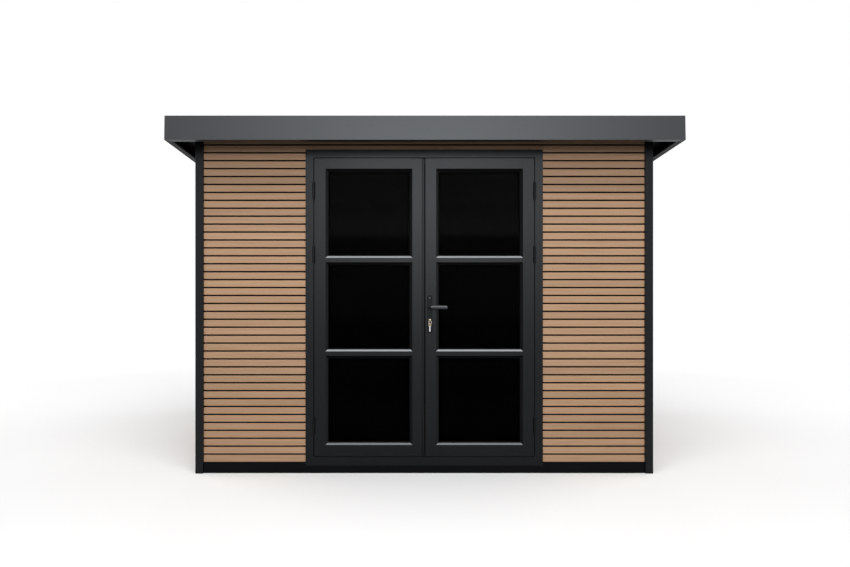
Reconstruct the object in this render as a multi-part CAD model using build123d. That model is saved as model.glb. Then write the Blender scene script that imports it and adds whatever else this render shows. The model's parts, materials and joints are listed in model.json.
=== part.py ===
from build123d import *
import math
import os

# Garden house with a pent roof, slatted walls and a glazed double door. Millimetres, +Z up.
# The origin is on the ground under the centre of the roof, -Y is the door side, +X the lock side.

# Plan and heights
HOUSE_WIDTH = 3000.0
HOUSE_DEPTH = 2400.0
SIDE_OVERHANG = 125.0
FRONT_OVERHANG = 200.0
BACK_OVERHANG = 125.0
ROOF_SLOPE = 2.0

# Depths behind the outer faces of the corner posts
RAIL_RECESS = 12.0
SLAT_RECESS = 20.0
SLAT_THICKNESS = 20.0
CORE_THICKNESS = 40.0
POST_FACE = 50.0

# Open-joint boards
BOARD_PITCH = 52.15
BOARD_JOINT = 9.3
BOARD_JOINT_DEPTH = 12.0
FIRST_BOARD = 44.15

# Base and floor
RAIL_HEIGHT = 72.0
DECK_THICKNESS = 20.0
JOIST_WIDTH = 45.0
JOIST_COUNT = 10

# Roof
EAVES_ABOVE_FRAME = 10.0
TRIM_HEIGHT = 153.0
TRIM_SHEET = 3.0
TRIM_BOTTOM_RETURN = 40.0
TRIM_TOP_RETURN = 60.0
TRIM_LIP = 12.0
BACK_TRIM_RETURN = 54.0
SOFFIT_DROP = 74.0
ROOF_PANEL_THICKNESS = 50.0
ROOF_PANEL_COUNT = 3
MEMBRANE_THICKNESS = 2.0

# Door frame
FRAME_WIDTH = 1559.0
FRAME_HEIGHT = 2075.0
FRAME_SILL_HEIGHT = 50.0
FRAME_DEPTH = 70.0
FRAME_RECESS = 10.0
JAMB_FACE = 53.5
SILL_FACE = 57.0
FRAME_LIP_WIDTH = 4.0
FRAME_LIP_HEIGHT = 2.0
STOP_WIDTH = 25.0
STOP_THICKNESS = 13.0

# Door leaves
LEAF_GAP = 5.0
LEAF_RECESS = 2.0
LEAF_THICKNESS = 60.0
FLANGE_THICKNESS = 20.0
FLANGE_REACH = 12.0
OUTER_STILE = 88.0
LEFT_MEETING_STILE = 77.0
RIGHT_MEETING_STILE = 85.0
BOTTOM_RAIL_WIDTH = 90.0
TOP_RAIL_WIDTH = 83.0
BAR_WIDTH = 58.0
BEVEL_WIDTH = 15.0
BEVEL_DEPTH = 9.0
PANE_COUNT = 3
GLASS_RECESS = 20.0
GLASS_THICKNESS = 24.0
GROOVE_DEPTH = 12.0
GROOVE_CLEARANCE = 2.0

# Strip between the leaves, carried by the left one
MEETING_HALF_WIDTH = 92.5
STRIP_JOINT = 6.0
STRIP_GAP = 7.0
STRIP_RECESS = 10.0
STRIP_THICKNESS = 8.0
STEM_SETBACK = 6.0
STEM_FRONT = 25.0

# Hinges
HINGE_LENGTH = 112.0
HINGE_RADIUS = 8.5
HINGE_STANDOFF = 1.0
HINGE_CAP = 3.0
HINGE_FLAG = 2.0
HINGE_FLAG_DEPTH = 45.0
HINGE_CLEARANCE = 0.5
PIN_RADIUS = 4.0
PIN_CLEARANCE = 0.1
HINGE_FROM_BOTTOM = 144.0
HINGE_FROM_TOP = 157.5
HINGE_UPPER_STEP = 418.0

# Handle and lock
HANDLE_BACKSET = 29.0
HANDLE_HEIGHT = 1089.0
LOCK_DISTANCE = 85.0
PLATE_WIDTH = 30.0
PLATE_LENGTH = 245.0
PLATE_THICKNESS = 9.0
PLATE_ABOVE_LEVER = 78.0
PLATE_EDGE = 3.0
LEVER_NECK_RADIUS = 9.0
LEVER_REACH = 52.0
LEVER_LENGTH = 127.0
LEVER_HEIGHT = 22.0
LEVER_THICKNESS = 12.0
LEVER_CLEARANCE = 0.1
SPINDLE_SIDE = 8.0
SPINDLE_HOLE_RADIUS = 7.0
CYLINDER_RADIUS = 8.5
CYLINDER_WIDTH = 10.0
CYLINDER_DROP = 24.5
CYLINDER_PROUD = 3.0
CYLINDER_CLEARANCE = 0.3

# Key, ring and spare key
KEY_SHANK = 6.0
KEY_BOW_LENGTH = 24.0
KEY_BOW_HEIGHT = 22.0
KEY_BOW_CORNER = 7.0
KEY_THICKNESS = 2.4
KEY_HOLE_RADIUS = 4.0
KEY_HOLE_FROM_EDGE = 7.0
KEY_BLADE_HEIGHT = 8.5
RING_RADIUS = 10.0
RING_WIRE = 1.5
RING_CLEARANCE = 0.8
SPARE_BLADE_LENGTH = 32.0
SPARE_TURN = 50.0

# Places worked out from the sizes above
SLOPE = math.radians(ROOF_SLOPE)
ROOF_HALF = HOUSE_WIDTH / 2 + SIDE_OVERHANG
ROOF_SPAN = FRONT_OVERHANG + HOUSE_DEPTH + BACK_OVERHANG
ROOF_FRONT = -ROOF_SPAN / 2
DECK_TOP = SOFFIT_DROP + ROOF_PANEL_THICKNESS
BACK_TRIM_HEIGHT = DECK_TOP + TRIM_SHEET
ROOF_LENGTH = (ROOF_SPAN - TRIM_HEIGHT * math.sin(SLOPE)) / math.cos(SLOPE)
HALF = HOUSE_WIDTH / 2
FRONT = ROOF_FRONT + FRONT_OVERHANG
BACK = FRONT + HOUSE_DEPTH
CORE_OUTER = SLAT_RECESS + SLAT_THICKNESS
CORE_INNER = CORE_OUTER + CORE_THICKNESS
FRAME_HALF = FRAME_WIDTH / 2
FRAME_TOP = FRAME_SILL_HEIGHT + FRAME_HEIGHT
EAVES_HEIGHT = FRAME_TOP + EAVES_ABOVE_FRAME
LEAF_OUTER = FRAME_HALF - JAMB_FACE - LEAF_GAP
LEFT_EDGE = MEETING_HALF_WIDTH - LEFT_MEETING_STILE
RIGHT_EDGE = MEETING_HALF_WIDTH - RIGHT_MEETING_STILE
PANE_WIDTH = LEAF_OUTER - OUTER_STILE - MEETING_HALF_WIDTH
LEAF_BOTTOM = FRAME_SILL_HEIGHT + SILL_FACE + LEAF_GAP
LEAF_TOP = FRAME_TOP - JAMB_FACE - LEAF_GAP
LEAF_HEIGHT = LEAF_TOP - LEAF_BOTTOM
LEAF_FACE = FRONT + LEAF_RECESS
LEAF_BACK = LEAF_FACE + LEAF_THICKNESS
PANES_TOTAL = LEAF_HEIGHT - BOTTOM_RAIL_WIDTH - TOP_RAIL_WIDTH - (PANE_COUNT - 1) * BAR_WIDTH
PANE_HEIGHT = PANES_TOTAL / PANE_COUNT
HINGE_TOP_PLACE = LEAF_TOP - HINGE_FROM_TOP - HINGE_LENGTH
HINGE_BOTTOMS = (LEAF_BOTTOM + HINGE_FROM_BOTTOM, HINGE_TOP_PLACE - HINGE_UPPER_STEP, HINGE_TOP_PLACE)
HINGE_X = LEAF_OUTER + LEAF_GAP / 2
HINGE_Y = LEAF_FACE - HINGE_STANDOFF - HINGE_RADIUS
HANDLE_X = RIGHT_EDGE + HANDLE_BACKSET
LOCK_HEIGHT = HANDLE_HEIGHT - LOCK_DISTANCE
KEY_Y = LEAF_FACE - PLATE_THICKNESS - CYLINDER_PROUD


def block(x0, x1, y0, y1, z0, z1):
    """A box between two corners."""
    size = Box(abs(x1 - x0), abs(y1 - y0), abs(z1 - z0))
    return Pos((x0 + x1) / 2, (y0 + y1) / 2, (z0 + z1) / 2) * size


def prism(plane, points, height):
    """A straight prism over an outline drawn in a plane."""
    return extrude(plane * make_face(Polyline(*points, close=True)), height)


def mirrored(shape):
    """The same shape on the other side of the house's middle."""
    return mirror(shape, about=Plane.YZ)


def roof_place(shape):
    """Moves a shape from the roof's own level frame to its slope, its front edge at the eaves height."""
    return Pos(0, ROOF_FRONT, EAVES_HEIGHT) * Rot(-ROOF_SLOPE, 0, 0) * shape


def pane_bottoms():
    """Heights of the lower edges of the panes."""
    return [LEAF_BOTTOM + BOTTOM_RAIL_WIDTH + i * (PANE_HEIGHT + BAR_WIDTH) for i in range(PANE_COUNT)]


# Walls

def under_roof(shape):
    """Trims a wall piece to the underside of the roof panels."""
    reach = ROOF_SPAN + HOUSE_WIDTH
    above = roof_place(block(-reach, reach, -reach, reach, SOFFIT_DROP, SOFFIT_DROP + reach))
    return shape - above


def corner_post(side, end):
    """One corner post: a square face outside, with two rebated ears that carry slats and wall cores."""
    ear, inner = CORE_OUTER, CORE_INNER
    outline = [(0, 0), (POST_FACE, 0), (POST_FACE, ear), (inner, ear),
               (inner, inner), (ear, inner), (ear, POST_FACE), (0, POST_FACE)]
    y = FRONT if end == "front" else BACK
    depth_sign = 1 if end == "front" else -1
    across = -1 if side == "left" else 1
    points = [(across * (HALF - x), y + depth_sign * d) for x, d in outline]
    return under_roof(prism(Plane.XY, points, EAVES_HEIGHT + TRIM_HEIGHT))


def end_wall_core(x0, x1, end, bottom):
    """A core panel of the front or back wall."""
    y = FRONT + CORE_OUTER if end == "front" else BACK - CORE_INNER
    return under_roof(block(x0, x1, y, y + CORE_THICKNESS, bottom, EAVES_HEIGHT + TRIM_HEIGHT))


def side_wall_core():
    """The core panel of the right wall."""
    return under_roof(block(HALF - CORE_INNER, HALF - CORE_OUTER, FRONT + CORE_INNER, BACK - CORE_INNER,
                            RAIL_HEIGHT, EAVES_HEIGHT + TRIM_HEIGHT))


def board_outline(outer, inner, bottom):
    """The section of boards on their backing: open joints at one pitch from the base rail up."""
    root = outer + math.copysign(BOARD_JOINT_DEPTH, inner - outer)
    joints = []
    low = RAIL_HEIGHT + FIRST_BOARD
    while low < EAVES_HEIGHT + TRIM_HEIGHT:
        if low > bottom:
            joints += [(outer, low), (root, low), (root, low + BOARD_JOINT), (outer, low + BOARD_JOINT)]
        low += BOARD_PITCH
    top = joints[-1][1] + BOARD_PITCH - BOARD_JOINT
    return [(inner, bottom), (outer, bottom)] + joints + [(outer, top), (inner, top)]


def end_cladding(x0, x1, end, bottom):
    """The boards of a stretch of the front or back wall."""
    outer = FRONT + SLAT_RECESS if end == "front" else BACK - SLAT_RECESS
    inner = FRONT + CORE_OUTER if end == "front" else BACK - CORE_OUTER
    return under_roof(Pos(x0, 0, 0) * prism(Plane.YZ, board_outline(outer, inner, bottom), x1 - x0))


def side_cladding():
    """The boards of the right wall."""
    points = board_outline(HALF - SLAT_RECESS, HALF - CORE_OUTER, RAIL_HEIGHT)
    length = HOUSE_DEPTH - 2 * POST_FACE
    return under_roof(Pos(0, FRONT + POST_FACE, 0) * prism(Plane.XZ, points, -length))


# Base and floor

def end_rail(end):
    """The base rail of the front or back. The front one is notched for the door frame."""
    y0, y1 = (FRONT + RAIL_RECESS, FRONT + CORE_INNER) if end == "front" else (BACK - CORE_INNER, BACK - RAIL_RECESS)
    rail = block(POST_FACE - HALF, HALF - POST_FACE, y0, y1, 0, RAIL_HEIGHT)
    for side in ("left", "right"):
        rail -= corner_post(side, end)
    if end == "front":
        rail -= block(-FRAME_HALF, FRAME_HALF, y0, y1, FRAME_SILL_HEIGHT, RAIL_HEIGHT)
    return rail


def side_rail():
    """The base rail of the right side."""
    rail = block(HALF - CORE_INNER, HALF - RAIL_RECESS, FRONT + POST_FACE, BACK - POST_FACE, 0, RAIL_HEIGHT)
    return rail - corner_post("right", "front") - corner_post("right", "back")


def floor_deck():
    """The floor deck, flush with the top of the base rails."""
    half = HALF - CORE_INNER
    return block(-half, half, FRONT + CORE_INNER, BACK - CORE_INNER, RAIL_HEIGHT - DECK_THICKNESS, RAIL_HEIGHT)


def floor_joists():
    """Joists under the deck, evenly spaced from wall to wall."""
    half = HALF - CORE_INNER
    step = (2 * half - JOIST_WIDTH) / (JOIST_COUNT - 1)
    joists = [block(x, x + JOIST_WIDTH, FRONT + CORE_INNER, BACK - CORE_INNER, 0, RAIL_HEIGHT - DECK_THICKNESS)
              for x in (-half + i * step for i in range(JOIST_COUNT))]
    return Compound(joists)


# Roof, in its own level frame: x across, y back from the front edge, z up from the trim's bottom

def trim_outline(height, top_return, coping):
    """The folded sheet of a roof edge trim: distance in from its face, height."""
    t = TRIM_SHEET
    outline = [(0, 0), (TRIM_BOTTOM_RETURN, 0), (TRIM_BOTTOM_RETURN, TRIM_LIP),
               (TRIM_BOTTOM_RETURN - t, TRIM_LIP), (TRIM_BOTTOM_RETURN - t, t), (t, t), (t, height - t)]
    if coping:
        outline += [(top_return - t, height - t), (top_return - t, DECK_TOP), (top_return, DECK_TOP)]
    else:
        outline += [(top_return, height - t)]
    return outline + [(top_return, height), (0, height)]


def mitre_wedge(direction, height):
    """The part of the plan in front of both mitres (direction 1), or behind both (-1)."""
    y = 0 if direction > 0 else ROOF_LENGTH
    points = [(-ROOF_HALF, y), (0, y + direction * ROOF_HALF), (ROOF_HALF, y)]
    return prism(Plane.XY, points, height)


def end_trim(direction, height, top_return, coping):
    """The front (direction 1) or back (-1) edge trim with mitred ends."""
    y = 0 if direction > 0 else ROOF_LENGTH
    points = [(y + direction * d, z) for d, z in trim_outline(height, top_return, coping)]
    bar = Pos(-ROOF_HALF, 0, 0) * prism(Plane.YZ, points, 2 * ROOF_HALF)
    return roof_place(bar & mitre_wedge(direction, height))


def side_trim():
    """The right edge trim, mitred to the front and back ones, with its coping capped above the back one."""
    points = [(ROOF_HALF - d, z) for d, z in trim_outline(TRIM_HEIGHT, TRIM_TOP_RETURN, True)]
    bar = prism(Plane.XZ, points, -ROOF_LENGTH)
    bar += block(ROOF_HALF - TRIM_TOP_RETURN, ROOF_HALF, ROOF_LENGTH - TRIM_SHEET, ROOF_LENGTH,
                 BACK_TRIM_HEIGHT, TRIM_HEIGHT)
    return roof_place(bar - mitre_wedge(1, TRIM_HEIGHT) - mitre_wedge(-1, BACK_TRIM_HEIGHT))


def roof_panels():
    """Insulated panels that run from front to back, side by side."""
    half = ROOF_HALF - TRIM_SHEET
    width = 2 * half / ROOF_PANEL_COUNT
    panels = [roof_place(block(x, x + width, TRIM_SHEET, ROOF_LENGTH - TRIM_SHEET, SOFFIT_DROP, DECK_TOP))
              for x in (-half + i * width for i in range(ROOF_PANEL_COUNT))]
    return Compound(panels)


def roof_membrane():
    """The rubber sheet between the copings and the back trim."""
    half = ROOF_HALF - TRIM_TOP_RETURN
    return roof_place(block(-half, half, TRIM_TOP_RETURN, ROOF_LENGTH - BACK_TRIM_RETURN,
                            DECK_TOP, DECK_TOP + MEMBRANE_THICKNESS))


# Door frame and leaves

def ring(x, z0, z1, face, sill, y0, y1):
    """An upright frame: outer half width, bottom and top, member widths, front and back."""
    outer = block(-x, x, y0, y1, z0, z1)
    return outer - block(face - x, x - face, y0, y1, z0 + sill, z1 - face)


def door_frame():
    """The one-piece frame with a raised lip round the opening and a stop behind the leaves."""
    front, back = FRONT + FRAME_RECESS, FRONT + FRAME_RECESS + FRAME_DEPTH
    frame = ring(FRAME_HALF, FRAME_SILL_HEIGHT, FRAME_TOP, JAMB_FACE, SILL_FACE, front, back)
    inset_x, inset_z = JAMB_FACE - FRAME_LIP_WIDTH, SILL_FACE - FRAME_LIP_WIDTH
    frame += ring(FRAME_HALF - inset_x, FRAME_SILL_HEIGHT + inset_z, FRAME_TOP - inset_x,
                  FRAME_LIP_WIDTH, FRAME_LIP_WIDTH, front - FRAME_LIP_HEIGHT, front)
    frame += ring(FRAME_HALF - JAMB_FACE, FRAME_SILL_HEIGHT + SILL_FACE, FRAME_TOP - JAMB_FACE,
                  STOP_WIDTH, STOP_WIDTH, back - STOP_THICKNESS, back)
    return frame


def pane_opening(x0, x1, z0):
    """What one pane takes out of a leaf: the bevelled mouth, the opening and the glass groove."""
    z1 = z0 + PANE_HEIGHT
    mid_x, mid_z = (x0 + x1) / 2, (z0 + z1) / 2
    hole = block(x0, x1, LEAF_FACE, LEAF_BACK, z0, z1)
    mouth = Plane.XZ * Rectangle(x1 - x0 + 2 * BEVEL_WIDTH, PANE_HEIGHT + 2 * BEVEL_WIDTH)
    throat = Plane.XZ * Rectangle(x1 - x0, PANE_HEIGHT)
    bevel = loft([Pos(mid_x, LEAF_FACE, mid_z) * mouth, Pos(mid_x, LEAF_FACE + BEVEL_DEPTH, mid_z) * throat])
    groove = block(x0 - GROOVE_DEPTH, x1 + GROOVE_DEPTH, LEAF_FACE + GLASS_RECESS,
                   LEAF_FACE + GLASS_RECESS + GLASS_THICKNESS, z0 - GROOVE_DEPTH, z1 + GROOVE_DEPTH)
    return hole + bevel + groove


def leaf_blank(edge):
    """The right leaf from its meeting edge to its hinge edge: a front flange and a set-back body."""
    inner, outer = edge + FLANGE_REACH, LEAF_OUTER - FLANGE_REACH
    blank = block(edge, LEAF_OUTER, LEAF_FACE, LEAF_FACE + FLANGE_THICKNESS, LEAF_BOTTOM, LEAF_TOP)
    blank += block(inner, outer, LEAF_FACE, LEAF_BACK, LEAF_BOTTOM + FLANGE_REACH, LEAF_TOP - FLANGE_REACH)
    for z in pane_bottoms():
        blank -= pane_opening(MEETING_HALF_WIDTH, MEETING_HALF_WIDTH + PANE_WIDTH, z)
    return blank


def leaf_parts(edge):
    """Stiles, rails, glazing bars and glass of the right leaf."""
    blank = leaf_blank(edge)
    x0, x1 = MEETING_HALF_WIDTH, MEETING_HALF_WIDTH + PANE_WIDTH
    low, high = LEAF_BOTTOM, LEAF_TOP
    stiles = [blank & block(a, b, LEAF_FACE, LEAF_BACK, low, high) for a, b in ((edge, x0), (x1, LEAF_OUTER))]
    spans = [(low, low + BOTTOM_RAIL_WIDTH), (high - TOP_RAIL_WIDTH, high)]
    rails = [blank & block(x0, x1, LEAF_FACE, LEAF_BACK, a, b) for a, b in spans]
    bars = [blank & block(x0, x1, LEAF_FACE, LEAF_BACK, z - BAR_WIDTH, z) for z in pane_bottoms()[1:]]
    grow = GROOVE_DEPTH - GROOVE_CLEARANCE
    front = LEAF_FACE + GLASS_RECESS
    glass = [block(x0 - grow, x1 + grow, front, front + GLASS_THICKNESS, z - grow, z + PANE_HEIGHT + grow)
             for z in pane_bottoms()]
    return stiles, rails, bars, glass


def meeting_strip():
    """The raised strip between the leaves and its stem, which seats on the left leaf's body."""
    left, right = STRIP_JOINT - LEFT_EDGE, RIGHT_EDGE - STRIP_GAP
    stem_left, stem_right = -LEFT_EDGE - FLANGE_REACH, right - STEM_SETBACK
    low, high = LEAF_BOTTOM + FLANGE_REACH, LEAF_TOP - FLANGE_REACH
    back = LEAF_FACE + STEM_FRONT
    strip = block(left, right, LEAF_FACE + STRIP_RECESS, LEAF_FACE + STRIP_RECESS + STRIP_THICKNESS, low, high)
    strip += block(left, stem_right, LEAF_FACE + STRIP_RECESS + STRIP_THICKNESS, back, low, high)
    return strip + block(stem_left, stem_right, back, LEAF_BACK, low, high)


# Hinges

def barrel(z0, z1, cap_up):
    """One knuckle with a rounded outer end."""
    length = z1 - z0
    body = Cylinder(HINGE_RADIUS, length)
    edge = body.edges().sort_by(Axis.Z)[-1 if cap_up else 0]
    return Pos(HINGE_X, HINGE_Y, (z0 + z1) / 2) * fillet(edge, HINGE_CAP)


def frame_hinge(z):
    """The lower knuckle on the right jamb, with its pin and its flag on the jamb's inner face."""
    middle = z + HINGE_LENGTH / 2
    low = barrel(z, middle, False)
    pin_top = z + HINGE_LENGTH - 2 * HINGE_CAP
    pin = Pos(HINGE_X, HINGE_Y, (middle + pin_top) / 2) * Cylinder(PIN_RADIUS, pin_top - middle)
    face = LEAF_OUTER + LEAF_GAP
    flag = block(face - HINGE_FLAG, face, HINGE_Y, FRONT + FRAME_RECESS + HINGE_FLAG_DEPTH, z + HINGE_CAP, middle)
    return low + pin + flag


def leaf_hinge(z):
    """The upper knuckle on the right leaf, bored for the pin, with its flag on the leaf's edge."""
    middle = z + HINGE_LENGTH / 2 + HINGE_CLEARANCE
    top = z + HINGE_LENGTH
    knuckle = barrel(middle, top, True)
    flag = block(LEAF_OUTER, LEAF_OUTER + HINGE_FLAG, HINGE_Y, LEAF_FACE + FLANGE_THICKNESS, middle, top - HINGE_CAP)
    bore_top = top - 2 * HINGE_CAP + HINGE_CLEARANCE
    bore = Pos(HINGE_X, HINGE_Y, (middle + bore_top) / 2) * Cylinder(PIN_RADIUS + PIN_CLEARANCE, bore_top - middle)
    return knuckle + flag - bore


# Handle, lock and key

def along_y(x, z, radius, y0, y1):
    """A round bar or hole from front to back."""
    return Pos(x, (y0 + y1) / 2, z) * Rot(90, 0, 0) * Cylinder(radius, y1 - y0)


def cylinder_profile(grow, y0, y1):
    """The lock cylinder's keyhole-shaped body: a round head over a narrow tail."""
    head = along_y(HANDLE_X, LOCK_HEIGHT, CYLINDER_RADIUS + grow, y0, y1)
    half = CYLINDER_WIDTH / 2 + grow
    foot = LOCK_HEIGHT - CYLINDER_DROP - grow
    tail = block(HANDLE_X - half, HANDLE_X + half, y0, y1, foot + half, LOCK_HEIGHT)
    return head + tail + along_y(HANDLE_X, foot + half, half, y0, y1)


def handle_plate(outside):
    """A long cover plate with a softened edge, holed for the lever and the lock cylinder."""
    y = LEAF_FACE - PLATE_THICKNESS if outside else LEAF_BACK
    top = HANDLE_HEIGHT + PLATE_ABOVE_LEVER
    half = PLATE_WIDTH / 2
    plate = block(HANDLE_X - half, HANDLE_X + half, y, y + PLATE_THICKNESS, top - PLATE_LENGTH, top)
    face = plate.faces().sort_by(Axis.Y)[0 if outside else -1]
    plate = chamfer(face.edges(), PLATE_EDGE)
    plate -= along_y(HANDLE_X, HANDLE_HEIGHT, LEVER_NECK_RADIUS + LEVER_CLEARANCE, y, y + PLATE_THICKNESS)
    return plate - cylinder_profile(CYLINDER_CLEARANCE, y, y + PLATE_THICKNESS)


def lever_grip(outside):
    """A round neck that turns in the plate, and the flattened grip with a rounded end."""
    way = -1 if outside else 1
    start = LEAF_FACE if outside else LEAF_BACK
    end = start + way * LEVER_REACH
    neck = along_y(HANDLE_X, HANDLE_HEIGHT, LEVER_NECK_RADIUS, min(start, end), max(start, end))
    outline = Pos(HANDLE_X + (LEVER_LENGTH - LEVER_HEIGHT) / 2, end, HANDLE_HEIGHT) * (
        Plane.XZ * SlotOverall(LEVER_LENGTH, LEVER_HEIGHT))
    grip = extrude(outline, way * LEVER_THICKNESS / 2, both=True)
    grip = fillet(grip.edges().group_by(Axis.Y)[0] + grip.edges().group_by(Axis.Y)[-1], LEVER_THICKNESS / 4)
    return neck + grip


def lever():
    """Both grips and the square spindle between them."""
    spindle = block(HANDLE_X - SPINDLE_SIDE / 2, HANDLE_X + SPINDLE_SIDE / 2, LEAF_FACE, LEAF_BACK,
                    HANDLE_HEIGHT - SPINDLE_SIDE / 2, HANDLE_HEIGHT + SPINDLE_SIDE / 2)
    return lever_grip(True) + spindle + lever_grip(False)


def lock_holes():
    """The holes through the right leaf for the spindle and the lock cylinder."""
    spindle = along_y(HANDLE_X, HANDLE_HEIGHT, SPINDLE_HOLE_RADIUS, LEAF_FACE, LEAF_BACK)
    return spindle + cylinder_profile(CYLINDER_CLEARANCE, LEAF_FACE, LEAF_BACK)


def lock_cylinder():
    """The brass cylinder, a little proud of both plates."""
    return cylinder_profile(0, KEY_Y, LEAF_BACK + PLATE_THICKNESS + CYLINDER_PROUD)


def key_hole_middle():
    """The middle of the hole in the bow of the key that is in the lock."""
    return HANDLE_X, KEY_Y - KEY_SHANK - KEY_BOW_LENGTH + KEY_HOLE_FROM_EDGE, LOCK_HEIGHT


def key_bow(y, z, thickness, hole_y, hole_z):
    """A flat bow with rounded corners, upright from front to back, holed for the ring."""
    bow = extrude(Pos(0, y, z) * (Plane.YZ * RectangleRounded(KEY_BOW_LENGTH, KEY_BOW_HEIGHT, KEY_BOW_CORNER)),
                  thickness / 2, both=True)
    return bow - Pos(0, hole_y, hole_z) * Rot(0, 90, 0) * Cylinder(KEY_HOLE_RADIUS, thickness)


def key():
    """The key in the lock: a short stretch of its blade and the bow."""
    blade = block(-KEY_THICKNESS / 2, KEY_THICKNESS / 2, KEY_Y - KEY_SHANK, KEY_Y,
                  LOCK_HEIGHT - KEY_BLADE_HEIGHT / 2, LOCK_HEIGHT + KEY_BLADE_HEIGHT / 2)
    hole_y, hole_z = key_hole_middle()[1:]
    bow = key_bow(KEY_Y - KEY_SHANK - KEY_BOW_LENGTH / 2, LOCK_HEIGHT, KEY_THICKNESS, hole_y, hole_z)
    return Pos(HANDLE_X, 0, 0) * (blade + bow)


def ring_middle():
    """The middle of the key ring, which hangs in the hole of the bow."""
    x, y, z = key_hole_middle()
    return x, y, z - KEY_HOLE_RADIUS + RING_WIRE / 2 + RING_CLEARANCE - RING_RADIUS


def key_ring():
    """The wire ring, hung square to the bow."""
    return Pos(*ring_middle()) * Rot(90, 0, 0) * Torus(RING_RADIUS, RING_WIRE / 2)


def spare_key():
    """The spare key, hung from the bottom of the ring and turned half to the front."""
    x, y, z = ring_middle()
    hole_z = z - RING_RADIUS - KEY_HOLE_RADIUS + RING_WIRE / 2 + RING_CLEARANCE
    middle = hole_z + KEY_HOLE_FROM_EDGE - KEY_BOW_HEIGHT / 2
    tip = middle - KEY_BOW_HEIGHT / 2 - SPARE_BLADE_LENGTH
    half = KEY_BLADE_HEIGHT / 2
    blade = block(-KEY_THICKNESS / 2, KEY_THICKNESS / 2, -half, half, tip, middle - KEY_BOW_HEIGHT / 4)
    return Pos(x, y, 0) * Rot(0, 0, SPARE_TURN) * (key_bow(0, middle, KEY_THICKNESS, 0, hole_z) + blade)


# Export, one file for each node

def solids_of(shapes):
    """All solids of a list of shapes as one compound."""
    return Compound([solid for shape in shapes for solid in shape.solids()])


def save(name, shape):
    """Writes one node."""
    shapes = shape if isinstance(shape, list) else [shape]
    solids = solids_of(shapes)
    export_step(solids if len(solids.solids()) > 1 else solids.solids()[0], f"parts/{name}.step")


os.makedirs("parts", exist_ok=True)

post_edge = HALF - POST_FACE

save("base_rail_front", end_rail("front"))
save("base_rail_back", end_rail("back"))
save("base_rail_right", side_rail())
save("base_rail_left", mirrored(side_rail()))
save("floor_joists", floor_joists())
save("floor_deck", floor_deck())
for end in ("front", "back"):
    for side in ("left", "right"):
        save(f"corner_post_{end}_{side}", corner_post(side, end))

front_core = end_wall_core(FRAME_HALF, HALF - CORE_INNER, "front", RAIL_HEIGHT)
front_boards = end_cladding(FRAME_HALF, post_edge, "front", RAIL_HEIGHT)
save("front_wall_right", front_core)
save("front_wall_left", mirrored(front_core))
save("front_wall_head", end_wall_core(-FRAME_HALF, FRAME_HALF, "front", FRAME_TOP))
save("front_cladding_right", front_boards)
save("front_cladding_left", mirrored(front_boards))
save("front_cladding_head", end_cladding(-FRAME_HALF, FRAME_HALF, "front", FRAME_TOP))
save("back_wall", end_wall_core(CORE_INNER - HALF, HALF - CORE_INNER, "back", RAIL_HEIGHT))
save("back_cladding", end_cladding(-post_edge, post_edge, "back", RAIL_HEIGHT))
save("right_wall", side_wall_core())
save("left_wall", mirrored(side_wall_core()))
save("right_cladding", side_cladding())
save("left_cladding", mirrored(side_cladding()))

save("roof_panels", roof_panels())
save("roof_membrane", roof_membrane())
save("roof_trim_front", end_trim(1, TRIM_HEIGHT, TRIM_TOP_RETURN, True))
save("roof_trim_back", end_trim(-1, BACK_TRIM_HEIGHT, BACK_TRIM_RETURN, False))
save("roof_trim_right", side_trim())
save("roof_trim_left", mirrored(side_trim()))

save("door_frame", door_frame())
for side, edge in (("right", RIGHT_EDGE), ("left", LEFT_EDGE)):
    stiles, rails, bars, glass = leaf_parts(edge)
    if side == "right":
        stiles = [stile - lock_holes() for stile in stiles]
    pieces = {"stiles": stiles, "rails": rails, "glazing_bars": bars, "glass": glass,
              "hinges": [leaf_hinge(z) for z in HINGE_BOTTOMS]}
    for name, shapes in pieces.items():
        save(f"{side}_leaf_{name}", shapes if side == "right" else [mirrored(shape) for shape in shapes])
save("left_leaf_meeting_strip", meeting_strip())
jamb_hinges = [frame_hinge(z) for z in HINGE_BOTTOMS]
save("frame_hinges", jamb_hinges + [mirrored(shape) for shape in jamb_hinges])
save("handle_plates", [handle_plate(True), handle_plate(False)])
save("lever", lever())
save("lock_cylinder", lock_cylinder())
save("key", key())
save("key_ring", key_ring())
save("spare_key", spare_key())
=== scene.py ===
import json
import math
import random

import bmesh
import bpy
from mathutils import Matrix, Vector


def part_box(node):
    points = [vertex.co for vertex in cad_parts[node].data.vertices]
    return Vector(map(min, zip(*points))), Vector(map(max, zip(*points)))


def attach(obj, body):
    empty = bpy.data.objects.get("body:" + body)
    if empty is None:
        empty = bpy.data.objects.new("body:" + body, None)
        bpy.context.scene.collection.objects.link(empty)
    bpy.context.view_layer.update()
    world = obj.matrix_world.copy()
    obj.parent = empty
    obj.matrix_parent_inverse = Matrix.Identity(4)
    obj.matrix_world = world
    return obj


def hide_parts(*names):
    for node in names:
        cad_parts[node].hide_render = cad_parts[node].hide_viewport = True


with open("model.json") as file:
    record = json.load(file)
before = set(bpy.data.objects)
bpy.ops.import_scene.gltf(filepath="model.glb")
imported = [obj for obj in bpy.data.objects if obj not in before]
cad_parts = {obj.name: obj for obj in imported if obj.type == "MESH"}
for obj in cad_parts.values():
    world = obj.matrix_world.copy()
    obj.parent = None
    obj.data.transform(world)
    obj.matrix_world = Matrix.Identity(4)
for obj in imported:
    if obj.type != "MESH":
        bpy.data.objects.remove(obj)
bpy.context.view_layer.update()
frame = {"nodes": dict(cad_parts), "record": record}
nodes = frame["nodes"]


def rest_box(node):
    """Lowest and highest corner of a CAD node at rest, to the micrometre."""
    return [[round(place, 6) for place in corner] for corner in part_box(node)]


# Sizes and places are in metres

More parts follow.
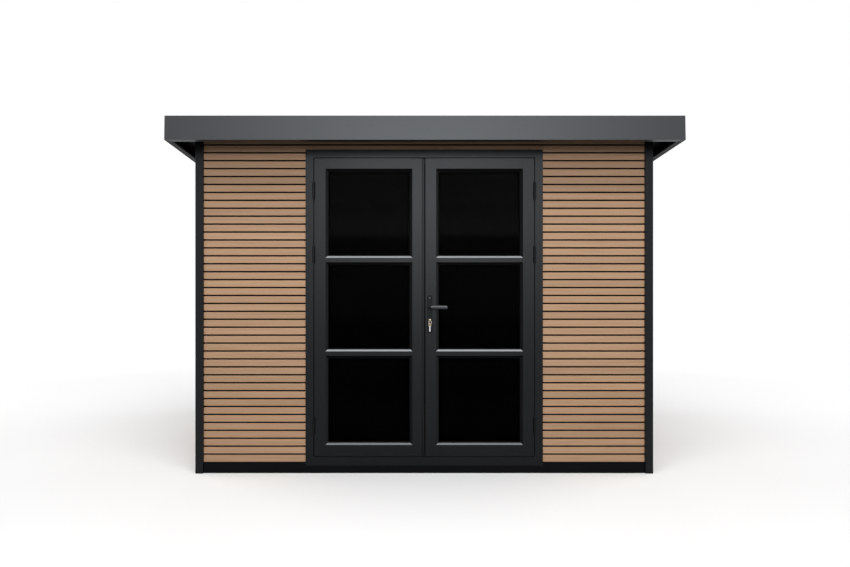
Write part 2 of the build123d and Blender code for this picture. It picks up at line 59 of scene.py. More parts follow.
# Boards and planks
BOARD_PITCH = 0.05223
FIRST_JOINT = 0.1222
BOARD_GAP = 0.0100
BOARD_EDGE = 0.0018
EDGE_STEPS = 3
BOARD_END = 0.0003
CUT_TOLERANCE = 0.000001
LEAST_BOTTOM_BOARD = 0.006
LEAST_TOP_BOARD = 0.004
PLANK_WIDTH = 0.096
GRAIN_SHIFT = (37.0, 11.0, 23.0)

# The soffit, which the wall boards stop at
ROOF_SLOPE = math.radians(2.0)
EAVES = 2.135
SOFFIT_DROP = 0.074
SOFFIT_UP = Vector((0.0, math.sin(ROOF_SLOPE), math.cos(ROOF_SLOPE)))
ROOF_FRONT = rest_box("roof_trim_front")[0][1]
SOFFIT_POINT = Vector((0.0, ROOF_FRONT, EAVES)) + SOFFIT_DROP * SOFFIT_UP

# Panes of the right leaf, which the left one mirrors
GLASS_HOLD = 0.010
BAR_WIDTH = 0.058
PANE_COUNT = 3
glass_low, glass_high = rest_box("right_leaf_glass")
PANE_SPAN = (glass_low[0] + GLASS_HOLD, glass_high[0] - GLASS_HOLD)
FIRST_PANE = glass_low[2] + GLASS_HOLD
PANE_STEP = (glass_high[2] - GLASS_HOLD - FIRST_PANE + BAR_WIDTH) / PANE_COUNT
PANE_HEIGHT = PANE_STEP - BAR_WIDTH
PANE_BOTTOMS = [FIRST_PANE + i * PANE_STEP for i in range(PANE_COUNT)]

# Leaves
LEAVES = {-1: "left_leaf", 1: "right_leaf"}
leaf_low, leaf_high = rest_box("left_leaf_stiles")
LEAF_FACE = leaf_low[1]
STRIP_INSET = 0.0005
STRIP_SPAN = (leaf_low[2] + STRIP_INSET, leaf_high[2] - STRIP_INSET)
WELD_DISTANCE = 0.00001
EASED_EDGE = 0.0008
EASED_STEPS = 2
EASED_ANGLE = math.radians(50.0)

# Handle plates and their screws
plates_low, plates_high = rest_box("handle_plates")
HANDLE_X = (plates_low[0] + plates_high[0]) / 2
PLATE_FACES = ((plates_low[1], -1), (plates_high[1], 1))
SCREW_INSET = 0.017
PLATE_SCREWS = (plates_low[2] + SCREW_INSET, plates_high[2] - SCREW_INSET)
SCREW_RADIUS = 0.0036
SCREW_CROWN = 0.0026
SCREW_RISE = 0.0009
SCREW_BRIM = 0.0003
SCREW_FOOT = -0.0002
CROSS_ARM = 0.0019
CROSS_HALF = 0.0004
CROSS_DEPTH = 0.0008

# Lever
LEVER_SPAN = (0.0255, 0.1525)
LEVER_AXIS = 1.089
LEVER_TOP = 1.101
LEVER_STANDOFF = 0.043
LEVER_HUB = 0.018
LEVER_HALF_DEPTH = 0.006
LEVER_HALF_HEIGHT = 0.010
LEVER_FLARE = 0.0024
LEVER_SQUARENESS = 0.6
ROUND_SIDES = 24

# Heights at which the lock and the spare key change colour; the lock's darker lower part is painted shade
LOCK_SHADE_HEIGHT = 1.008
SPARE_KEY_TONE_HEIGHT = 0.966


# Material helpers

class Graph:
    """A node tree under construction."""

    def __init__(self, tree):
        self.tree = tree
        self.tree.nodes.clear()

    def add(self, kind, **values):
        node = self.tree.nodes.new(kind)
        for key, value in values.items():
            setattr(node, key, value)
        return node

    def link(self, a, b):
        self.tree.links.new(a, b)

    def math(self, kind, a, b):
        node = self.add("ShaderNodeMath", operation=kind)
        for value, socket in ((a, node.inputs[0]), (b, node.inputs[1])):
            if isinstance(value, (int, float)):
                socket.default_value = value
            else:
                self.link(value, socket)
        return node.outputs[0]

    def seen(self):
        """1 for what the eye, a mirror or glass sees, 0 for the light that surfaces receive."""
        path = self.add("ShaderNodeLightPath")
        indirect = self.math("MAXIMUM", path.outputs["Is Glossy Ray"], path.outputs["Is Transmission Ray"])
        return self.math("MAXIMUM", path.outputs["Is Camera Ray"], indirect)


class Paint(Graph):
    """A node material under construction."""

    def __init__(self, name):
        self.mat = bpy.data.materials.new(name)
        self.mat.use_nodes = True
        super().__init__(self.mat.node_tree)
        self.out = self.add("ShaderNodeOutputMaterial")
        self.bsdf = self.add("ShaderNodeBsdfPrincipled")
        self.link(self.bsdf.outputs[0], self.out.inputs["Surface"])

    def set(self, **values):
        for key, value in values.items():
            self.bsdf.inputs[key.replace("_", " ")].default_value = value

    def coords(self, scale, source="Object"):
        place = self.add("ShaderNodeTexCoord")
        stretch = self.add("ShaderNodeMapping")
        stretch.inputs["Scale"].default_value = scale
        self.link(place.outputs[source], stretch.inputs["Vector"])
        return stretch.outputs["Vector"]

    def noise(self, vector, scale, detail=4.0, rough=0.55):
        node = self.add("ShaderNodeTexNoise")
        node.inputs["Scale"].default_value = scale
        node.inputs["Detail"].default_value = detail
        node.inputs["Roughness"].default_value = rough
        self.link(vector, node.inputs["Vector"])
        return node.outputs["Fac"]

    def ramp(self, value, stops):
        node = self.add("ShaderNodeValToRGB")
        ramp = node.color_ramp
        ramp.elements[0].position, ramp.elements[0].color = stops[0][0], (*stops[0][1], 1.0)
        ramp.elements[1].position, ramp.elements[1].color = stops[-1][0], (*stops[-1][1], 1.0)
        for place, color in stops[1:-1]:
            ramp.elements.new(place).color = (*color, 1.0)
        self.link(value, node.inputs["Fac"])
        return node.outputs["Color"]

    def span(self, value, low, high, from_low=0.0, from_high=1.0):
        node = self.add("ShaderNodeMapRange")
        node.inputs["From Min"].default_value = from_low
        node.inputs["From Max"].default_value = from_high
        node.inputs["To Min"].default_value = low
        node.inputs["To Max"].default_value = high
        self.link(value, node.inputs["Value"])
        return node.outputs["Result"]

    def mix(self, factor, a, b, blend="MIX"):
        """Mixes two colours, which this node takes at its inputs 6 and 7 and gives at its output 2."""
        node = self.add("ShaderNodeMix", data_type="RGBA", blend_type=blend)
        for value, socket in ((factor, node.inputs["Factor"]), (a, node.inputs[6]), (b, node.inputs[7])):
            if isinstance(value, (int, float)):
                socket.default_value = value
            elif isinstance(value, tuple):
                socket.default_value = (*value, 1.0)
            else:
                self.link(value, socket)
        return node.outputs[2]

    def bump(self, height, strength, distance):
        node = self.add("ShaderNodeBump")
        node.inputs["Strength"].default_value = strength
        node.inputs["Distance"].default_value = distance
        self.link(height, node.inputs["Height"])
        self.link(node.outputs["Normal"], self.bsdf.inputs["Normal"])


def painted(name, low, high, rough, specular, tint=(1.0, 1.0, 1.0)):
    """A matt or satin coat with faint cloudiness, fine texture and uneven roughness."""
    p = Paint(name)
    p.set(Specular_Tint=(*tint, 1.0))
    cloud = p.noise(p.coords((1.0, 1.0, 1.0)), 2.3)
    fine = p.noise(p.coords((1.0, 1.0, 1.0)), 260.0, 3.0)
    p.link(p.ramp(cloud, [(0.3, low), (0.7, high)]), p.bsdf.inputs["Base Color"])
    p.link(p.span(fine, rough - 0.05, rough + 0.07), p.bsdf.inputs["Roughness"])
    p.set(Specular_IOR_Level=specular)
    p.bump(fine, 0.15, 0.0004)
    return p.mat


def board_wood(name, dark, middle, light):
    """Wood boards: each has its own tone, long streaks and a brushed face, with painted shade that darkens
    their sides deeper in the joints.
    """
    p = Paint(name)
    own = p.add("ShaderNodeAttribute", attribute_name="board")
    depth = p.add("ShaderNodeAttribute", attribute_name="depth")
    uv = p.coords((1.0, 1.0, 1.0), "UV")
    shift = p.add("ShaderNodeVectorMath", operation="ADD")
    spread = p.add("ShaderNodeVectorMath", operation="SCALE")
    spread.inputs[0].default_value = GRAIN_SHIFT
    p.link(own.outputs["Fac"], spread.inputs["Scale"])
    p.link(uv, shift.inputs[0])
    p.link(spread.outputs[0], shift.inputs[1])

    def along(scale_u, scale_v):
        stretch = p.add("ShaderNodeMapping")
        stretch.inputs["Scale"].default_value = (scale_u, scale_v, 1.0)
        p.link(shift.outputs[0], stretch.inputs["Vector"])
        return stretch.outputs["Vector"]

    streaks = p.noise(along(2.2, 95.0), 1.0, 5.0, 0.6)
    broad = p.noise(along(1.1, 9.0), 1.0, 2.0, 0.5)
    brushed = p.noise(along(14.0, 620.0), 1.0, 3.0, 0.6)
    base = p.ramp(streaks, [(0.25, dark), (0.5, middle), (0.78, light)])
    tint = p.ramp(broad, [(0.3, (0.50, 0.485, 0.44)), (0.7, (0.52, 0.49, 0.49))])
    color = p.mix(0.55, base, tint, "OVERLAY")
    tone = p.ramp(own.outputs["Fac"], [(0.0, (0.46, 0.46, 0.455)), (1.0, (0.535, 0.53, 0.525))])
    color = p.mix(1.0, color, tone, "OVERLAY")
    # Painted shade: each board's sides grow darker the deeper they lie in the joints.
    painted_joint_shade = [(0.0, (1.0, 1.0, 1.0)), (0.12, (0.48, 0.43, 0.41)), (0.6, (0.07, 0.06, 0.06))]
    color = p.mix(1.0, color, p.ramp(depth.outputs["Fac"], painted_joint_shade), "MULTIPLY")
    p.link(color, p.bsdf.inputs["Base Color"])
    p.link(p.span(brushed, 0.5, 0.72), p.bsdf.inputs["Roughness"])
    p.set(Specular_IOR_Level=0.25)
    p.bump(p.math("ADD", p.math("MULTIPLY", streaks, 0.6), brushed), 0.35, 0.0006)
    return p.mat


def window_glass():
    """Dark glazing, tinted near black as painted shade for the shaded room behind it: it passes little
    light and reflects faintly.
    """
    p = Paint("window_glass")
    smear = p.noise(p.coords((1.0, 1.0, 1.0)), 1.7, 3.0)
    # The near-black tint is painted shade that stands for the shaded room behind the panes.
    tint = p.ramp(smear, [(0.3, (0.012, 0.013, 0.015)), (0.7, (0.02, 0.022, 0.024))])
    p.link(tint, p.bsdf.inputs["Base Color"])
    p.link(p.span(smear, 0.02, 0.06), p.bsdf.inputs["Roughness"])
    p.set(IOR=1.045, Transmission_Weight=1.0)
    return p.mat


def metal(name, color, rough, streak):
    """Bare metal with fine drawn lines."""
    p = Paint(name)
    lines = p.noise(p.coords(streak), 120.0, 3.0)
    dark = tuple(0.8 * c for c in color)
    p.link(p.ramp(lines, [(0.3, dark), (0.7, color)]), p.bsdf.inputs["Base Color"])
    p.link(p.span(lines, rough - 0.06, rough + 0.1), p.bsdf.inputs["Roughness"])
    p.set(Metallic=1.0)
    p.bump(lines, 0.12, 0.0002)
    return p.mat


def two_tone_metal(name, low_color, high_color, height, rough):
    """Bare metal with fine drawn lines, of one colour below a height and of another above it."""
    p = Paint(name)
    place = p.coords((1.0, 1.0, 1.0))
    apart = p.add("ShaderNodeSeparateXYZ")
    p.link(place, apart.inputs[0])
    lines = p.noise(place, 900.0, 3.0)
    above = p.math("GREATER_THAN", apart.outputs["Z"], height)
    low = p.ramp(lines, [(0.3, tuple(0.8 * c for c in low_color)), (0.7, low_color)])
    high = p.ramp(lines, [(0.3, tuple(0.8 * c for c in high_color)), (0.7, high_color)])
    p.link(p.mix(above, low, high), p.bsdf.inputs["Base Color"])
    p.link(p.span(lines, rough - 0.06, rough + 0.1), p.bsdf.inputs["Roughness"])
    p.set(Metallic=1.0)
    p.bump(lines, 0.1, 0.0002)
    return p.mat


COOL = (0.90, 0.95, 1.0)
PAINT_LOW = (0.0018, 0.0020, 0.0024)
PAINT_HIGH = (0.0028, 0.0030, 0.0036)


def anthracite(name, rough, specular):
    """The dark grey of posts, frame, doors and roof edge, more or less glossy."""
    return painted(name, PAINT_LOW, PAINT_HIGH, rough, specular, COOL)


MATERIALS = {
    "anthracite_metal": anthracite("anthracite_metal", 0.36, 0.18),
    "wood_cladding": board_wood(
        "board_wood", (0.362, 0.226, 0.140), (0.430, 0.274, 0.171), (0.483, 0.315, 0.203)),
    "wall_panel": painted("wall_panel", (0.006, 0.006, 0.006), (0.009, 0.0085, 0.008), 0.8, 0.15),
    "floor_wood": board_wood("floor_wood", (0.26, 0.17, 0.10), (0.33, 0.23, 0.14), (0.39, 0.28, 0.18)),
    "roof_panel": painted("roof_panel", (0.008, 0.008, 0.009), (0.012, 0.012, 0.013), 0.7, 0.2),
    "roof_rubber": painted("roof_rubber", (0.018, 0.018, 0.018), (0.03, 0.03, 0.03), 0.75, 0.25),
    "door_paint": anthracite("door_paint", 0.3, 0.17),
    "window_glass": window_glass(),
    "black_fittings": painted(
        "black_fittings", (0.0015, 0.0015, 0.0018), (0.0025, 0.0025, 0.003), 0.38, 0.12, COOL),
    # The lock's brass is darker below its tone height: painted shade on the lower part of the cylinder.
    "lock_brass": two_tone_metal(
        "lock_brass", (0.13, 0.105, 0.06), (0.62, 0.56, 0.40), LOCK_SHADE_HEIGHT, 0.3),
    "key_steel": metal("key_steel", (0.72, 0.72, 0.70), 0.22, (1.0, 1.0, 9.0)),
}
TRIM_PAINT = anthracite("trim_paint", 0.42, 0.56)
EAVES_PAINT = anthracite("eaves_paint", 0.6, 0.25)
STRIP_PAINT = anthracite("strip_paint", 0.35, 0.13)
RAIL_PAINT = anthracite("rail_paint", 0.5, 0.05)
# Lit and shaded copies of the doors' paint for the glazing beads, by the way they face. The lower beads get
# a glossier one for a painted highlight. The upright beads on a pane's right get a duller one and the upper
# beads a darker one, both painted shade.
BEAD_LOWER_LIT = anthracite("bead_lower_lit", 0.25, 0.8)
BEAD_SIDE_SHADED = anthracite("bead_side_shaded", 0.3, 0.08)
BEAD_UPPER_SHADED = painted("bead_upper_shaded", (0.001, 0.001, 0.0012), (0.0015, 0.0015, 0.0018), 0.5, 0.04)
SEAL_RUBBER = painted("seal_rubber", (0.002, 0.002, 0.002), (0.003, 0.003, 0.003), 0.6, 0.06)
LEVER_PAINT = painted("lever_paint", (0.003, 0.003, 0.0035), (0.005, 0.005, 0.006), 0.2, 0.42, COOL)
SPARE_KEY = two_tone_metal(
    "spare_key_metal", (0.94, 0.94, 0.95), (0.40, 0.34, 0.22), SPARE_KEY_TONE_HEIGHT, 0.2)
SCREW_METAL = painted("screw_black", (0.006, 0.006, 0.007), (0.01, 0.01, 0.011), 0.25, 1.0)

# Finishes of nodes by the start of their names, the first match counting
OWN_FINISH = {
    "roof_trim_front": TRIM_PAINT, "roof_trim_": EAVES_PAINT, "base_rail_": RAIL_PAINT,
    "left_leaf_meeting_strip": STRIP_PAINT, "spare_key": SPARE_KEY,
}


def ease_edges(node):
    """Takes the sharpness off a node's edges, after a weld of the vertices that its mesh repeats there."""
    weld = node.modifiers.new("weld", "WELD")
    weld.merge_threshold = WELD_DISTANCE
    bevel = node.modifiers.new("eased_edges", "BEVEL")
    bevel.width = EASED_EDGE
    bevel.segments = EASED_STEPS
    bevel.limit_method = "ANGLE"
    bevel.angle_limit = EASED_ANGLE
    bevel.harden_normals = True


for row in frame["record"]["subparts"]:
    node = nodes[row["node"]]
    own = [paint for start, paint in OWN_FINISH.items() if row["node"].startswith(start)]
    node.data.materials.clear()
    node.data.materials.append(own[0] if own else MATERIALS[row["material_slot"]])
    if row["material_slot"] in ("door_paint", "anthracite_metal"):
        ease_edges(node)


# Mesh helpers

def join(bm, a, b):
    """Makes the faces between two rings of equal length and gives them back."""
    faces = []
    for i in range(len(a)):
        j = (i + 1) % len(a)
        faces.append(bm.faces.new((a[i], a[j], b[j], b[i])))
    return faces


def bar(bm, start, end):
    """A straight bar between two rings, closed at both ends."""
    join(bm, start, end)
    bm.faces.new(start)
    bm.faces.new(list(reversed(end)))


def circle(radius):
    """Points of a circle round the origin."""
    turns = [2 * math.pi * i / ROUND_SIDES for i in range(ROUND_SIDES)]
    return [(radius * math.cos(a), radius * math.sin(a)) for a in turns]


def finish_piece(bm, name, materials, body, *stands_for):
    """Turns a mesh under construction into a piece that rides on a body."""
    bmesh.ops.recalc_face_normals(bm, faces=bm.faces[:])
    mesh = bpy.data.meshes.new(name)
    bm.to_mesh(mesh)
    bm.free()
    for material in materials:
        mesh.materials.append(material)
    piece = bpy.data.objects.new(name, mesh)
    bpy.context.scene.collection.objects.link(piece)
    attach(piece, body)
    if stands_for:
        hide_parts(*stands_for)


# Boards

def board_section(height, depth):
    """Outline of a board's section: (distance in from its face, height), softened at the face."""
    r = BOARD_EDGE
    points = []
    for cx, cz, start in ((r, height - r, 90), (r, r, 180)):
        for step in range(EDGE_STEPS + 1):
            a = math.radians(start + step * 90 / EDGE_STEPS)
            points.append((cx + r * math.cos(a), cz + r * math.sin(a)))
    return points + [(depth, 0.0), (depth, height)]


def build_boards(name, node, run, up, side, cuts, material):
    """Boards in place of a slab.

    The axis run is the one they follow, up the one they are stacked on, and side tells where they face.
    """
    low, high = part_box(node)
    across = 3 - run - up
    face = low[across] if side < 0 else high[across]
    depth = high[across] - low[across]
    draw = random.Random(name)
    bm = bmesh.new()
    uv = bm.loops.layers.uv.new("UVMap")
    tone = bm.verts.layers.float.new("board")
    # How deep each vertex lies, which sets the painted shade in the joints.
    joint_shade_depth = bm.verts.layers.float.new("depth")
    for bottom, top in cuts:
        outline = board_section(top - bottom, depth)
        own = draw.random()
        rings = []
        for end in (low[run] + BOARD_END, high[run] - BOARD_END):
            ring = []
            for inward, rise in outline:
                place = [0.0, 0.0, 0.0]
                place[run] = end
                place[across] = face - side * inward
                place[up] = bottom + rise
                vert = bm.verts.new(place)
                vert[tone] = own
                vert[joint_shade_depth] = inward / depth
                ring.append(vert)
            rings.append(ring)
        count = len(outline)
        faces = [bm.faces.new(rings[0]), bm.faces.new(list(reversed(rings[1])))]
        for i in range(count):
            j = (i + 1) % count
            faces.append(bm.faces.new((rings[0][j], rings[0][i], rings[1][i], rings[1][j])))
        for f in faces:
            for loop in f.loops:
                co = loop.vert.co
                sink = abs(co[across] - face)
                loop[uv].uv = (co[run], co[up] + sink)
    if up == 2:
        roof = bmesh.ops.bisect_plane(bm, geom=bm.verts[:] + bm.edges[:] + bm.faces[:], dist=CUT_TOLERANCE,
                                      plane_co=SOFFIT_POINT, plane_no=SOFFIT_UP, clear_outer=True)
        bmesh.ops.holes_fill(bm, edges=[e for e in roof["geom_cut"] if isinstance(e, bmesh.types.BMEdge)])
    finish_piece(bm, name, [material], "house", node)


def wall_cuts(node):
    """Board bottoms and tops over a wall's height, on the joint lines that all walls share."""
    low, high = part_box(node)
    cuts = []
    joint = FIRST_JOINT
    bottom = low[2]
    while joint - BOARD_GAP / 2 < bottom + LEAST_BOTTOM_BOARD:
        joint += BOARD_PITCH
    while bottom < high[2] - LEAST_TOP_BOARD:
        top = min(joint - BOARD_GAP / 2, high[2])
        cuts.append((bottom, top))
        bottom = joint + BOARD_GAP / 2
        joint += BOARD_PITCH
    return cuts


def plank_cuts(node):
    """Edges of the floor planks, of equal width from front to back."""
    low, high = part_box(node)
    count = round((high[1] - low[1]) / PLANK_WIDTH)
    width = (high[1] - low[1]) / count
    return [(low[1] + i * width, low[1] + (i + 1) * width - BOARD_END) for i in range(count)]


for name, node, run, side in (
        ("front_boards_left", "front_cladding_left", 0, -1),
        ("front_boards_right", "front_cladding_right", 0, -1),
        ("front_boards_head", "front_cladding_head", 0, -1),
        ("back_boards", "back_cladding", 0, 1),
        ("left_boards", "left_cladding", 1, -1),
        ("right_boards", "right_cladding", 1, 1)):
    build_boards(name, node, run, 2, side, wall_cuts(node), MATERIALS["wood_cladding"])
build_boards("floor_planks", "floor_deck", 0, 1, 1, plank_cuts("floor_deck"), MATERIALS["floor_wood"])


# Glazing beads and seals, as sections: distance out from a pane's opening, depth behind the leaf's face

OUTER_BEAD = ((0.0149, -0.0002), (0.0141, -0.0002), (-0.0003, 0.0088), (-0.0003, 0.0190), (0.0149, 0.0190))
OUTER_SEAL = ((0.0004, 0.0160), (-0.0015, 0.0160), (-0.0032, 0.0172), (-0.0038, 0.0188), (-0.0038, 0.0201),
              (0.0004, 0.0201))
SILL_SEAL = ((0.0022, 0.0068), (0.0018, 0.0062), (-0.0012, 0.0064), (-0.0016, 0.0072), (-0.0016, 0.0165),
             (0.0022, 0.0165))
INNER_SEAL = ((0.0004, 0.0439), (-0.0130, 0.0439), (-0.0136, 0.0452), (-0.0130, 0.0465), (0.0004, 0.0465))
INNER_BEAD = ((0.0004, 0.0464), (-0.0115, 0.0464), (-0.0115, 0.0500), (-0.0100, 0.0530), (-0.0030, 0.0590),
              (-0.0010, 0.0604), (0.0004, 0.0604))


def pane_rings(name, side, section, materials):
    """A mitred ring round each pane of a leaf: its lower, hinge side, upper and meeting side members."""
    bm = bmesh.new()
    for bottom in PANE_BOTTOMS:
        top = bottom + PANE_HEIGHT
        corners = ((PANE_SPAN[0], bottom, -1, -1), (PANE_SPAN[1], bottom, 1, -1),
                   (PANE_SPAN[1], top, 1, 1), (PANE_SPAN[0], top, -1, 1))
        rings = []
        for x, z, sx, sz in corners:
            points = [(side * (x + sx * out), LEAF_FACE + deep, z + sz * out) for out, deep in section]
            rings.append([bm.verts.new(point) for point in points])
        for k, ring in enumerate(rings):
            for face in join(bm, ring, rings[(k + 1) % len(rings)]):
                face.material_index = k % len(materials)
    finish_piece(bm, name, materials, LEAVES[side])


def sill_seals(name, side):
    """The rubber lip along the lower bead of each pane."""
    bm = bmesh.new()
    for bottom in PANE_BOTTOMS:
        rings = []
        for x, sx in ((PANE_SPAN[0], -1), (PANE_SPAN[1], 1)):
            points = [(side * (x + sx * out), LEAF_FACE + deep, bottom - out) for out, deep in SILL_SEAL]
            rings.append([bm.verts.new(point) for point in points])
        bar(bm, *rings)
    finish_piece(bm, name, [SEAL_RUBBER], LEAVES[side])


# Lit and shaded copies of the doors' paint on the beads: seen from outside, upright beads on a pane's left
# have the doors' paint and those on its right a duller copy, painted shade; the lower beads, facing up, a
# glossier copy for a brighter highlight, and the upper beads, facing down, a darker copy, painted shade
for side, leaf in LEAVES.items():
    meeting_paint, hinge_paint = [MATERIALS["door_paint"], BEAD_SIDE_SHADED][::side]
    lit_and_shaded_bead_paints = [BEAD_LOWER_LIT, hinge_paint, BEAD_UPPER_SHADED, meeting_paint]
    pane_rings(f"{leaf}_outer_beads", side, OUTER_BEAD, lit_and_shaded_bead_paints)
    pane_rings(f"{leaf}_outer_seals", side, OUTER_SEAL, [SEAL_RUBBER])
    sill_seals(f"{leaf}_sill_seals", side)
    pane_rings(f"{leaf}_inner_seals", side, INNER_SEAL, [SEAL_RUBBER])
    pane_rings(f"{leaf}_inner_beads", side, INNER_BEAD, [MATERIALS["door_paint"]])


# Cover over the meeting strip, as sections: place across, depth behind the leaf's face

STRIP_SEAL = ((-0.0156, 0.0246), (-0.0156, 0.0112), (-0.0148, 0.0104), (-0.0098, 0.0104), (-0.0098, 0.0246))
STRIP_COVER = ((-0.0100, 0.0181), (-0.0100, 0.0101), (-0.0094, 0.0097), (0.0010, 0.0097), (0.0016, 0.0101),
               (0.0016, 0.0181))


def strip_parts():
    """The strip's cover and the lip that fills its joint with the left leaf, over the leaf's height."""
    bm = bmesh.new()
    for section in (STRIP_SEAL, STRIP_COVER):
        bar(bm, *([bm.verts.new((x, LEAF_FACE + deep, z)) for x, deep in section] for z in STRIP_SPAN))
    finish_piece(bm, "meeting_strip_cover", [STRIP_PAINT], "left_leaf")


strip_parts()


# Lever, with its grip's ends as (distance from the end, share of the full section)
# and its neck as (distance from the plate, radius)

GRIP_END = ((0.0, 0.30), (0.0012, 0.62), (0.0035, 0.86), (0.0070, 0.97), (0.0120, 1.0))
GRIP_MIDDLE = (0.3, 0.5, 0.7, 0.85)
NECK = ((0.0, 0.0088), (0.0, 0.0108), (0.0030, 0.0108), (0.0038, 0.0088), (0.0300, 0.0084),
        (LEVER_STANDOFF, 0.0080))


def skin(bm, rings, dull):
    """A smooth bar through a row of rings, of the second material up to the ring numbered dull."""
    for k, (a, b) in enumerate(zip(rings, rings[1:])):
        for face in join(bm, a, b):
            face.smooth = True
            face.material_index = int(k < dull)
    start = bm.faces.new(rings[0])
    end = bm.faces.new(list(reversed(rings[-1])))
    start.smooth = end.smooth = True
    start.material_index = 1
    end.material_index = int(dull >= len(rings))


def rounded(value):
    """A sine or cosine bent so that a circle becomes a squarer oval."""
    return math.copysign(abs(value) ** LEVER_SQUARENESS, value)


def lever_grip(bm, foot, out):
    """A grip that deepens towards its rounded tip, on a round collared neck."""
    plane = foot + out * LEVER_STANDOFF
    start, end = LEVER_SPAN
    stations = [(start + d, share) for d, share in GRIP_END] + [(start + LEVER_HUB, 1.0)]
    stations += [(start + (end - start) * part, 1.0) for part in GRIP_MIDDLE]
    stations += [(end - d, share) for d, share in reversed(GRIP_END)]
    grip = []
    for x, share in stations:
        half = LEVER_HALF_HEIGHT + LEVER_FLARE * (x - start) / (end - start)
        points = []
        for flat, tall in circle(1.0):
            depth = LEVER_HALF_DEPTH * share * rounded(flat)
            rise = half * share * rounded(tall)
            points.append((x, plane + depth, LEVER_TOP - half + rise))
        grip.append([bm.verts.new(point) for point in points])
    skin(bm, grip, len(GRIP_END))
    neck = []
    for d, r in NECK:
        neck.append([bm.verts.new((HANDLE_X + c, foot + out * d, LEVER_AXIS + s)) for c, s in circle(r)])
    skin(bm, neck, len(neck))


grips = bmesh.new()
for face, out in PLATE_FACES:
    lever_grip(grips, face, out)
finish_piece(grips, "lever_grips", [LEVER_PAINT, MATERIALS["black_fittings"]], "lever", "lever")


# Screws of the handle plates

def cross():
    """Outline of the cross recess."""
    a, h = CROSS_ARM, CROSS_HALF
    return [(h, h), (a, h), (a, -h), (h, -h), (h, -a), (-h, -a),
            (-h, -h), (-a, -h), (-a, h), (-h, h), (-h, a), (h, a)]


def add_screw(bm, x, y, z, out):
    """A raised countersunk head with a cross recess."""

    def ring(points, lift):
        return [bm.verts.new((x + px, y + out * lift, z + pz)) for px, pz in points]

    foot = ring(circle(SCREW_RADIUS), SCREW_FOOT)
    brim = ring(circle(SCREW_RADIUS), SCREW_BRIM)
    top = ring(circle(SCREW_CROWN), SCREW_RISE)
    mouth = ring(cross(), SCREW_RISE)
    floor = ring(cross(), SCREW_RISE - CROSS_DEPTH)
    for a, b in ((foot, brim), (brim, top), (mouth, floor)):
        join(bm, a, b)
    bm.faces.new(foot)
    bm.faces.new(floor)
    rim = [bm.edges.get((a, b)) for loop in (top, mouth) for a, b in zip(loop, loop[1:] + loop[:1])]
    bmesh.ops.triangle_fill(bm, use_beauty=True, edges=rim)


screws = bmesh.new()
for face, out in PLATE_FACES:
    for height in PLATE_SCREWS:
        add_screw(screws, HANDLE_X, face, height, out)
finish_piece(screws, "plate_screws", [SCREW_METAL], "right_leaf")


# Floor, background, lights and camera

FLOOR_SIZE = 60.0
FLOOR_DROP = 0.0005
FLOOR_FADE = (2.5, 6.5)
FLOOR_PALE = 0.8
FLOOR_DULL = 0.12
WORLD_FILL = 0.2
WORLD_WHITE = 1.0
PHOTO_WIDTH = 850.0
SENSOR_WIDTH = 36.0
FOCAL_PIXELS = 621.0
SHIFT_PIXELS = (14.5, 17.0)
POST_FACE = -1.1625
CAMERA_DISTANCE = 4.068
CAMERA_PLACE = (-0.090, POST_FACE - CAMERA_DISTANCE, 1.134)
UPPER_AIM = (0.0, -1.16, 1.1)
FRONT_AIM = (0.0, -1.16, 1.2)
LEFT_AIM = (-1.5, 0.0, 1.0)
RIGHT_AIM = (1.5, 0.0, 1.0)
BACK_AIM = (0.0, 1.2, 1.0)


def stage_floor():
    """A pale floor that keeps the shadow and throws little light back up."""
    bpy.ops.mesh.primitive_plane_add(size=FLOOR_SIZE, location=(0.0, 0.0, -FLOOR_DROP))
    plane = bpy.context.object
    plane.name = "stage_floor"
    p = Paint("stage_floor")
    p.tree.nodes.remove(p.bsdf)
    seen = p.seen()
    near = p.add("ShaderNodeBsdfDiffuse")
    near.inputs["Color"].default_value = (FLOOR_PALE, FLOOR_PALE, FLOOR_PALE, 1.0)
    far = p.add("ShaderNodeEmission")
    away = p.add("ShaderNodeVectorMath", operation="LENGTH")
    p.link(p.coords((1.0, 1.0, 1.0)), away.inputs[0])
    pale = p.add("ShaderNodeMixShader")
    p.link(p.span(away.outputs["Value"], 0.0, 1.0, *FLOOR_FADE), pale.inputs["Fac"])
    p.link(near.outputs[0], pale.inputs[1])
    p.link(far.outputs[0], pale.inputs[2])
    dull = p.add("ShaderNodeBsdfDiffuse")
    dull.inputs["Color"].default_value = (FLOOR_DULL, FLOOR_DULL, FLOOR_DULL, 1.0)
    pick = p.add("ShaderNodeMixShader")
    p.link(seen, pick.inputs["Fac"])
    p.link(dull.outputs[0], pick.inputs[1])
    p.link(pale.outputs[0], pick.inputs[2])
    p.link(pick.outputs[0], p.out.inputs["Surface"])
    plane.data.materials.append(p.mat)


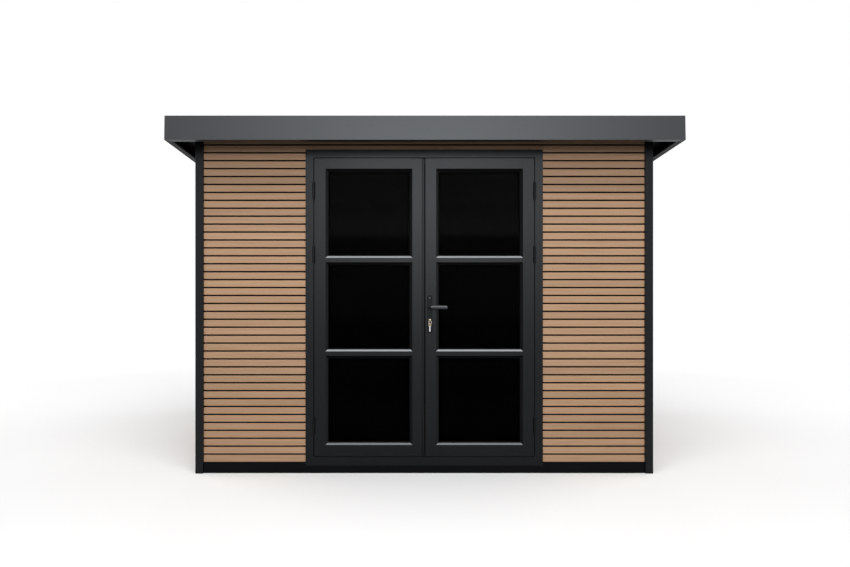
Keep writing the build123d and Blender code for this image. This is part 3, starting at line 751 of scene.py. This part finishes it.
def stage_world():
    """White to the eye and in reflections, a low even light on the object."""
    world = bpy.data.worlds.new("world")
    bpy.context.scene.world = world
    world.use_nodes = True
    g = Graph(world.node_tree)
    out = g.add("ShaderNodeOutputWorld")
    pick = g.add("ShaderNodeMixShader")
    g.link(g.seen(), pick.inputs["Fac"])
    for socket, strength in ((1, WORLD_FILL), (2, WORLD_WHITE)):
        light = g.add("ShaderNodeBackground")
        light.inputs["Color"].default_value = (1.0, 1.0, 1.0, 1.0)
        light.inputs["Strength"].default_value = strength
        g.link(light.outputs[0], pick.inputs[socket])
    g.link(pick.outputs[0], out.inputs["Surface"])


def area_light(name, place, target, size_x, size_y, power):
    """A soft rectangular lamp that faces a point."""
    lamp = bpy.data.lights.new(name, "AREA")
    lamp.shape = "RECTANGLE"
    lamp.size, lamp.size_y = size_x, size_y
    lamp.energy = power
    obj = bpy.data.objects.new(name, lamp)
    bpy.context.scene.collection.objects.link(obj)
    obj.location = place
    obj.rotation_euler = (Vector(target) - Vector(place)).to_track_quat("-Z", "Y").to_euler()


def stage_camera():
    """The photograph's viewpoint: level, square to the front, with the frame shifted."""
    cam = bpy.data.cameras.new("camera")
    cam.sensor_width = SENSOR_WIDTH
    cam.lens = SENSOR_WIDTH * FOCAL_PIXELS / PHOTO_WIDTH
    cam.shift_x, cam.shift_y = (pixels / PHOTO_WIDTH for pixels in SHIFT_PIXELS)
    obj = bpy.data.objects.new("camera", cam)
    bpy.context.scene.collection.objects.link(obj)
    obj.location = CAMERA_PLACE
    obj.rotation_euler = (math.radians(90.0), 0.0, 0.0)
    bpy.context.scene.camera = obj


stage_floor()
stage_world()
area_light("overhead_panel", (0.0, -5.0, 8.3), UPPER_AIM, 8.0, 3.6, 590.0)
area_light("middle_panel", (0.0, -6.5, 5.0), UPPER_AIM, 7.0, 2.2, 40.0)
area_light("front_panel", (0.25, -8.4, 3.4), FRONT_AIM, 4.2, 2.2, 182.0)
area_light("front_wide", (0.25, -8.6, 3.6), FRONT_AIM, 10.0, 2.6, 46.0)
area_light("front_low", (0.25, -8.4, 1.7), FRONT_AIM, 4.5, 1.8, 54.0)
area_light("left_fill", (-7.5, 1.5, 4.0), LEFT_AIM, 5.0, 4.0, 230.0)
area_light("right_fill", (7.5, 1.5, 4.0), RIGHT_AIM, 5.0, 4.0, 230.0)
area_light("back_fill", (0.0, 8.0, 4.5), BACK_AIM, 6.0, 4.0, 260.0)
stage_camera()
bpy.context.scene.view_settings.view_transform = "Standard"
